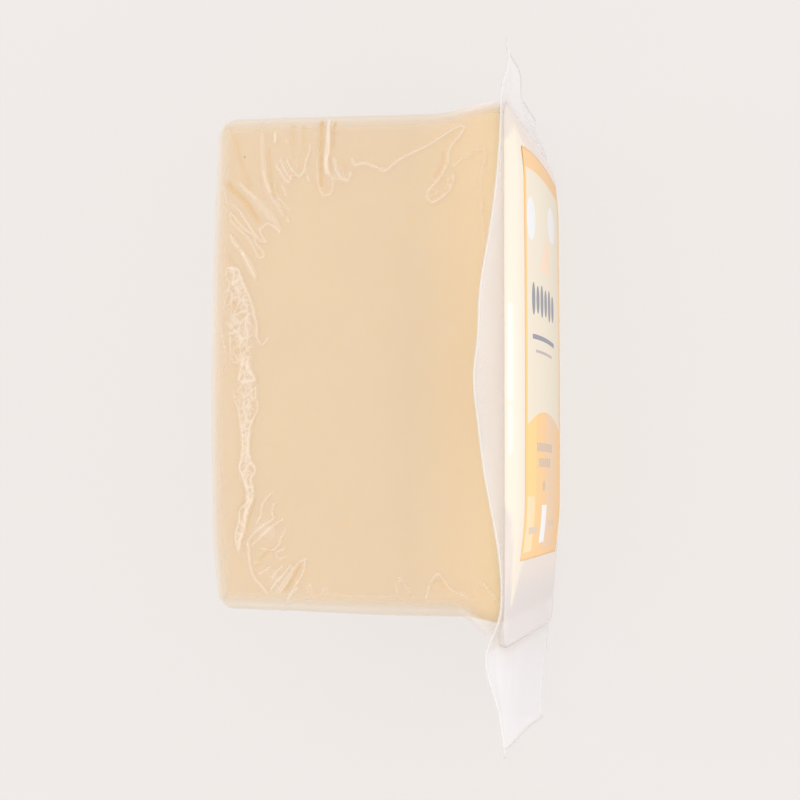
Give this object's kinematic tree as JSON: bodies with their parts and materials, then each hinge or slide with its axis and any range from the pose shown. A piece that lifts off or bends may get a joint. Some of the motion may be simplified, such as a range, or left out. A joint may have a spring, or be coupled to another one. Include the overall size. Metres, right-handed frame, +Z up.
{
  "type": "vacuum-packed block of white cheddar cheese",
  "caption": "Rounded block of white cheddar shrunk in clear film, with a thin wavy welded flange, a top flap, a long tail and a printed label on the front.",
  "frame": {"origin": "on the surface that the pack lies on, under the middle of the cheese", "axes": "+X out of the label side, +Y along the block towards the short top flap, +Z up out of the long side that shows"},
  "size_m": [0.0662, 0.1438, 0.079],
  "materials": {
    "cheese": "smooth pale ivory cheese under a clinging clear film, soft sheen",
    "clear_film": "thin clear plastic film, glossy, slightly milky where two films are welded",
    "label": "printed film label in cream and yellow-orange, satin"
  },
  "bodies": {
    "root": {"cheese_block": "cheese", "film_flange": "clear_film", "label_panel": "label"}
  },
  "joints": []
}
